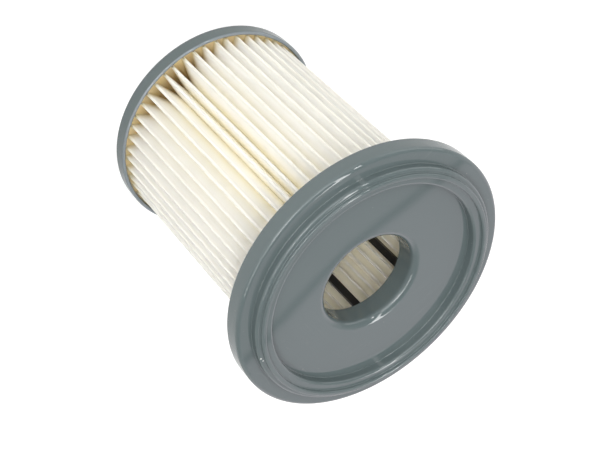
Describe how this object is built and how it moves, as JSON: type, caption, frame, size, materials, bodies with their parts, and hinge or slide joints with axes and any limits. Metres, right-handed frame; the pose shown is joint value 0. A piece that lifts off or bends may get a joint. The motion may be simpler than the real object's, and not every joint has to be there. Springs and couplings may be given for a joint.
{
  "type": "vacuum cleaner filter",
  "caption": "Pleated cylindrical cartridge filter for a bagless vacuum cleaner, with a flanged open end cap, raised seal ring, round outlet hole, inner core cage and closed end cap.",
  "frame": {"origin": "centre of the closed end cap's outer face, on which the filter stands", "axes": "+Z along the cartridge's axis, out of the open end through the outlet hole; one core bar stands 65.3 degrees from +X towards -Y"},
  "size_m": [0.118, 0.118, 0.1274],
  "materials": {
    "cap_plastic": "moulded blue-grey plastic, polished",
    "filter_paper": "matt cream filter paper",
    "cage_plastic": "black moulded plastic",
    "potting_resin": "tan cast adhesive"
  },
  "bodies": {
    "root": {"open_end_cap": "cap_plastic", "closed_end_cap": "cap_plastic", "pleated_media": "filter_paper", "core_cage": "cage_plastic", "open_end_potting": "potting_resin", "closed_end_potting": "potting_resin"}
  },
  "joints": []
}
